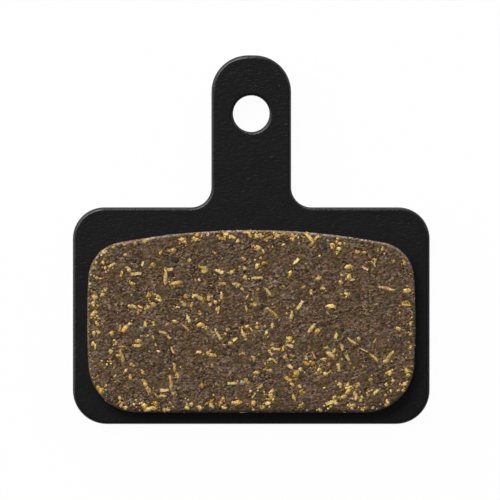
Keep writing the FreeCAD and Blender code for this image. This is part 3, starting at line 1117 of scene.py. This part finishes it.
def open_crevices(lining, seats, width, depth, draw):
    """Sinks the compound at a random side of each chip, where it shrank from the brass as it cured, and
    marks that place for painted shade.
    """
    mesh = lining.data
    places = vertex_places(mesh)
    tree = KDTree(len(places))
    for i, place in enumerate(places):
        tree.insert(place, i)
    tree.balance()
    crevice_shade_marks = np.empty(len(places), np.float32)
    mesh.attributes["hollow"].data.foreach_get("value", crevice_shade_marks)
    for matrix, tone in seats:
        side = draw.uniform(0.0, 2 * math.pi)
        reach = draw.uniform(*CREVICE_PLACES)
        beside = matrix @ Vector((math.cos(side) * reach, math.sin(side) * reach, 0.0))
        inward = -(matrix.to_3x3() @ Vector((0.0, 0.0, 1.0))).normalized()
        for place, index, distance in tree.find_range(beside, width):
            share = 1.0 - distance / width
            places[index] += np.array(inward) * depth * share
            # Marks the sunk place for painted shade
            crevice_shade_marks[index] = max(crevice_shade_marks[index], share)
    mesh.vertices.foreach_set("co", places.ravel())
    mesh.attributes["hollow"].data.foreach_set("value", np.minimum(crevice_shade_marks, 1.0))
    mesh.update()


def press_in(name, models, seats, material):
    """Copies the models to their seats, each with its own mesh that darkens down its sides as resin and as
    painted shade, and joins them.
    """
    copies = []
    for i, (matrix, tone) in enumerate(seats):
        mesh = models[i % len(models)].data.copy()
        heights = np.maximum(vertex_places(mesh)[:, 2], -RESIN_AND_SHADE_DEPTH)
        mesh.transform(matrix)
        grind_face(mesh)
        # Darker down the chip's sides, as resin and as painted shade
        mark_vertices(mesh, "tone", tone + EDGE_RESIN_AND_SHADE * heights)
        copy = bpy.data.objects.new(name, mesh)
        bpy.context.scene.collection.objects.link(copy)
        copies.append(copy)
    for model in models:
        bpy.data.objects.remove(model)
    make_active(copies[0])
    for copy in copies:
        copy.select_set(True)
    bpy.ops.object.join()
    finish_piece(bpy.context.object, name, material)


class BRAKE_PAD_OT_press_in_brass(bpy.types.Operator):
    """Press brass shavings and granules into the lining"""

    bl_idname = "brake_pad.press_in_brass"
    bl_label = "Press in the brass"

    def execute(self, context):
        chips = context.scene.brake_pad_chips
        draw = random.Random(chips.seed)
        lining = bpy.data.objects["lining_compound"]
        surface = LiningSurface(lining, BRASS_PROUD)
        brass = cut_brass(chips)
        shavings = []
        granules = []

        # What stands out, as listed, and the crumbs beside it
        for x, y, degrees, long, wide in SHAVINGS:
            turn = math.radians(degrees)
            if wide > NEEDLE_WIDTH:
                granules += self.torn_flake(surface, x, y, turn, long, wide, draw)
            else:
                size = (long * MM, wide * MM, CHIP_DEPTH)
                needle = seat(*surface.on_face(x, y), turn, size, draw)
                shavings.append((needle, draw.uniform(*NEEDLE_TONES)))
        for x, y, wide in BEADS + EDGE_BEADS:
            long = wide * draw.uniform(*BEAD_STRETCH)
            granules += self.torn_flake(surface, x, y, draw.uniform(0.0, math.pi), long, wide, draw)
        for x, y, *sizes in SHAVINGS + BEADS:
            granules += self.nest(surface, x, y, chips.crumb_count, CRUMB_SPREAD, CRUMB, draw)

        # Small shavings anywhere
        for i in range(chips.shaving_count):
            long = draw.uniform(*SHAVING_LENGTHS) * MM
            wide = draw.uniform(*SHAVING_WIDTHS) * MM
            point, normal = surface.anywhere(draw, long / 2)
            needle = seat(point, normal, draw.uniform(0.0, math.pi), (long, wide, wide), draw)
            shavings.append((needle, draw.uniform(*SMALL_NEEDLE_TONES)))
        needles = [model_needle(seed) for seed in range(BRASS_MODELS)]
        press_in("brass_shavings", needles, shavings, brass)

        # Small granules in nests, along the left and right rims, and in clumps anywhere
        for x, y in GRANULE_NESTS:
            granules += self.nest(surface, x, y, chips.nest_count, NEST_SPREAD, NEST_GRANULE, draw)
        for side in (-1, 1):
            for i in range(chips.rim_count):
                inset = RIM_INSET + abs(draw.gauss(0.0, RIM_SPREAD))
                found = surface.below(side * (LINING_HIGH.x / MM - inset), draw.uniform(*RIM_RUN))
                if found is not None:
                    granules.append(self.granule(*found, draw, RIM_GRANULE))
        for i in range(chips.clump_count):
            point, normal = surface.anywhere(draw, GRANULE * MM)
            for j in range(draw.choice(CLUMP_SIZES)):
                found = surface.beside(point, normal, CLUMP_SPREAD * MM, draw)
                if found is not None:
                    granules.append(self.granule(*found, draw, GRANULE))
        flakes = [model_flake(seed, BRASS_RAGGEDNESS) for seed in range(BRASS_MODELS)]
        press_in("brass_granules", flakes, granules, brass)
        open_crevices(lining, shavings + granules, chips.crevice_width, chips.crevice_depth, draw)
        return {"FINISHED"}

    def torn_flake(self, surface, x, y, turn, long, wide, draw):
        """The bits of one flake or bead that tore as it was pressed in: a bright core and duller scraps."""
        pale = draw.uniform(*FLAKE_TONES)
        core = (FLAKE_CORE * long * MM, FLAKE_CORE * wide * MM, CHIP_DEPTH)
        bits = [(seat(*surface.on_face(x, y), turn, core, draw), pale)]
        for i in range(1 + round(long / wide)):
            along = draw.uniform(-0.5, 0.5) * long
            aside = draw.gauss(0.0, SCRAP_SPREAD) * wide
            found = surface.below(
                x + along * math.cos(turn) - aside * math.sin(turn),
                y + along * math.sin(turn) + aside * math.cos(turn),
            )
            broad = wide * draw.uniform(*SCRAP_WIDTHS) * MM
            size = (broad * draw.uniform(*GRANULE_STRETCH), broad, min(CHIP_DEPTH, broad))
            if found is not None:
                dull = pale - draw.uniform(0.0, SCRAP_DULLING)
                bits.append((seat(*found, draw.uniform(0.0, math.pi), size, draw), dull))
        return bits

    def nest(self, surface, x, y, number, spread, usual, draw):
        """Where granules sit that are scattered about x and y on the face, all in millimetres."""
        granules = []
        for i in range(number):
            found = surface.below(x + draw.gauss(0.0, spread[0]), y + draw.gauss(0.0, spread[1]))
            if found is not None:
                granules.append(self.granule(*found, draw, usual))
        return granules

    def granule(self, point, normal, draw, usual):
        """Where one granule sits and how pale it is, for a usual width in millimetres."""
        wide = min(2 * usual, draw.lognormvariate(math.log(usual), WIDTH_SPREAD)) * MM
        size = (wide * draw.uniform(*GRANULE_STRETCH), wide, min(CHIP_DEPTH, wide))
        return seat(point, normal, draw.uniform(0.0, math.pi), size, draw), draw.uniform(*GRANULE_TONES)


class BRAKE_PAD_OT_press_in_graphite(bpy.types.Operator):
    """Press dark graphite and slate grains into the lining"""

    bl_idname = "brake_pad.press_in_graphite"
    bl_label = "Press in the dark grains"

    def execute(self, context):
        chips = context.scene.brake_pad_chips
        draw = random.Random(chips.seed + 1)
        surface = LiningSurface(bpy.data.objects["lining_compound"], GRAIN_PROUD)
        grains = []
        for x, y, wide in DARK_GRAINS + [QUARTZ_GRAIN]:
            size = (wide * draw.uniform(*BROAD_GRAIN_STRETCH) * MM, wide * MM, CHIP_DEPTH)
            tone = QUARTZ_TONE if (x, y, wide) == QUARTZ_GRAIN else draw.uniform(*GRAIN_TONES)
            grains.append((seat(*surface.on_face(x, y), draw.uniform(0.0, math.pi), size, draw), tone))
        for i in range(chips.grain_count):
            wide = draw.uniform(*GRAIN_WIDTHS) * MM
            size = (wide * draw.uniform(*GRAIN_STRETCH), wide, min(CHIP_DEPTH, wide))
            point, normal = surface.anywhere(draw, wide)
            grain = seat(point, normal, draw.uniform(0.0, math.pi), size, draw)
            grains.append((grain, draw.uniform(*GRAIN_TONES)))
        flakes = [model_flake(GRAIN_SEED + i, GRAIN_RAGGEDNESS) for i in range(GRAIN_MODELS)]
        press_in("graphite_grains", flakes, grains, graphite(chips))
        return {"FINISHED"}


def add_soft_light(setup, name):
    """One of the setup's area lights, which looks at the pad from its side."""
    azimuth = getattr(setup, name + "_azimuth")
    height = getattr(setup, name + "_height")
    level = math.cos(height)
    towards = Vector((math.cos(azimuth) * level, math.sin(azimuth) * level, math.sin(height)))
    bpy.ops.object.light_add(
        type="AREA",
        location=towards * getattr(setup, name + "_distance"),
        rotation=towards.to_track_quat("Z", "Y").to_euler(),
    )
    lamp = bpy.context.object
    lamp.name = name + "_light"
    lamp.visible_camera = False
    lamp.data.shape = "RECTANGLE"
    lamp.data.size = getattr(setup, name + "_width")
    lamp.data.size_y = getattr(setup, name + "_tall")
    lamp.data.energy = getattr(setup, name + "_watts")


class BRAKE_PAD_OT_set_stage(bpy.types.Operator):
    """Set the floor, the lights and the camera"""

    bl_idname = "brake_pad.set_stage"
    bl_label = "Set the stage"

    def execute(self, context):
        setup = context.scene.brake_pad_stage
        deselect_all()
        bpy.ops.mesh.primitive_plane_add(size=FLOOR_SIZE, location=(0.0, 0.0, CAD_BOX[0].z - FLOOR_GAP))
        floor = context.object
        floor.name = "studio_floor"
        floor.data.materials.append(studio_paper(setup))

        world = bpy.data.worlds.new("studio_sky")
        context.scene.world = world
        world.use_nodes = True
        sky = world.node_tree.nodes["Background"]
        sky.inputs["Color"].default_value = setup.sky
        sky.inputs["Strength"].default_value = setup.sky_level
        for name in ("key", "side", "fill"):
            add_soft_light(setup, name)

        bpy.ops.object.camera_add(
            location=(VIEW_X, VIEW_Y, BASE_Z + setup.camera_distance), rotation=(0.0, 0.0, 0.0)
        )
        camera = context.object
        camera.name = "camera"
        camera.data.sensor_width = SENSOR_WIDTH
        camera.data.lens = SENSOR_WIDTH * setup.camera_distance / setup.frame_width
        camera.data.clip_start = CLIP_START
        context.scene.camera = camera
        context.scene.view_settings.view_transform = "Standard"
        return {"FINISHED"}


class BRAKE_PAD_PT_build(bpy.types.Panel):
    """Lists the steps that dress the pad"""

    bl_idname = "BRAKE_PAD_PT_build"
    bl_label = "Brake pad"
    bl_space_type = "VIEW_3D"
    bl_region_type = "UI"
    bl_category = "Brake pad"

    def draw(self, context):
        for operator in OPERATORS:
            self.layout.operator(operator.bl_idname)


OPERATORS = (
    BRAKE_PAD_OT_coat_plate,
    BRAKE_PAD_OT_mould_lining,
    BRAKE_PAD_OT_press_in_brass,
    BRAKE_PAD_OT_press_in_graphite,
    BRAKE_PAD_OT_set_stage,
)
SETTINGS = {
    "brake_pad_plate": PlateFinish,
    "brake_pad_lining": LiningFinish,
    "brake_pad_chips": ChipFinish,
    "brake_pad_stage": StageSetup,
}


def register():
    for group in SETTINGS.values():
        bpy.utils.register_class(group)
    for operator in OPERATORS:
        bpy.utils.register_class(operator)
    bpy.utils.register_class(BRAKE_PAD_PT_build)
    for name, group in SETTINGS.items():
        setattr(bpy.types.Scene, name, PointerProperty(type=group))


def unregister():
    for name in SETTINGS:
        delattr(bpy.types.Scene, name)
    bpy.utils.unregister_class(BRAKE_PAD_PT_build)
    for operator in reversed(OPERATORS):
        bpy.utils.unregister_class(operator)
    for group in SETTINGS.values():
        bpy.utils.unregister_class(group)


def main():
    register()
    bpy.ops.brake_pad.coat_plate()
    bpy.ops.brake_pad.mould_lining()
    bpy.ops.brake_pad.press_in_brass()
    bpy.ops.brake_pad.press_in_graphite()
    bpy.ops.brake_pad.set_stage()


if __name__ == "__main__":
    main()
